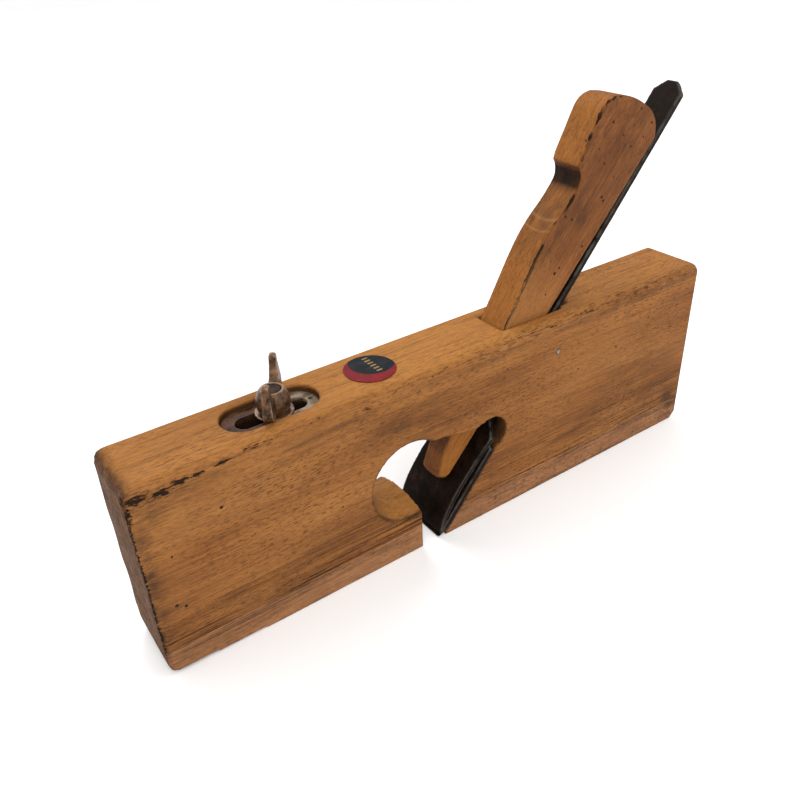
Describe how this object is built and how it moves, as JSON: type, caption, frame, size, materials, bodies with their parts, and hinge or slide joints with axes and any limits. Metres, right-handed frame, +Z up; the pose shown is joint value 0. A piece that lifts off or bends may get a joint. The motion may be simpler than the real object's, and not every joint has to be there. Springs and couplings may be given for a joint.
{
  "type": "rebate plane",
  "caption": "Wooden rebate plane: full-width double iron held by a wedge, round side escapement, and a sliding front sole clamped by a wing nut to set the mouth.",
  "frame": {"origin": "centre of the sole, on the surface the plane stands on", "axes": "+X towards the heel along the stock, +Y across the stock away from the pinned side, +Z up"},
  "size_m": [0.27, 0.0301, 0.1645],
  "materials": {
    "beech_stock": "aged oiled beech",
    "beech_wedge": "aged oiled beech, darker from handling",
    "sole_wood": "worn hard beech",
    "dark_steel": "dull, lightly rusted",
    "worn_steel": "worn, rust at one end",
    "rusty_iron": "brown rust patina",
    "iron_black": "black-brown patina, bright at the arrises",
    "brass": "dull",
    "label": "glossy printed foil"
  },
  "bodies": {
    "stock": {"body_stock": "beech_stock", "heel_sole": "sole_wood", "slot_plate": "worn_steel", "slot_plate_pins": "worn_steel", "label_disc": "label", "side_pin": "worn_steel"},
    "shoe": {"toe_shoe": "sole_wood", "guide_keys": "sole_wood", "base_plate": "dark_steel", "base_plate_screws": "dark_steel", "clamp_stud": "dark_steel"},
    "washer_body": {"washer": "dark_steel"},
    "wing_nut_body": {"wing_nut": "rusty_iron"},
    "cutter_body": {"cutter": "iron_black"},
    "cap_iron_body": {"cap_iron": "iron_black", "cap_nut": "brass"},
    "cap_screw_body": {"cap_screw": "dark_steel"},
    "wedge_body": {"wedge": "beech_wedge"}
  },
  "joints": [
    {"name": "shoe_slide", "type": "slide", "parent": "stock", "child": "shoe", "axis": [1, 0, 0], "range_m": [-0.01, 0.006]},
    {"name": "washer_lift", "type": "slide", "parent": "shoe", "child": "washer_body", "axis": [0, 0, 1], "range_m": [0, 0.004]},
    {"name": "wing_nut_turn", "type": "hinge", "parent": "washer_body", "child": "wing_nut_body", "pos_m": [-0.075, 0, 0.085], "axis": [0, 0, 1], "range_deg": [0, 1440]},
    {"name": "wedge_draw", "type": "slide", "parent": "stock", "child": "wedge_body", "axis": [0.6361, 0, 0.7716], "range_m": [0, 0.12]},
    {"name": "cutter_set", "type": "slide", "parent": "stock", "child": "cutter_body", "axis": [0.6361, 0, 0.7716], "range_m": [-0.002, 0.0011]},
    {"name": "cap_iron_set", "type": "slide", "parent": "cutter_body", "child": "cap_iron_body", "axis": [0.6361, 0, 0.7716], "range_m": [-0.001, 0.0006]},
    {"name": "cap_screw_turn", "type": "hinge", "parent": "cap_iron_body", "child": "cap_screw_body", "pos_m": [0.02831, 0, 0.04938], "axis": [-0.7716, 0, 0.6361], "range_deg": [-360, 360]}
  ],
  "couplings": [
    {"joint": "washer_lift", "follows": "wing_nut_turn", "m_per_rad": 0.00015915}
  ]
}
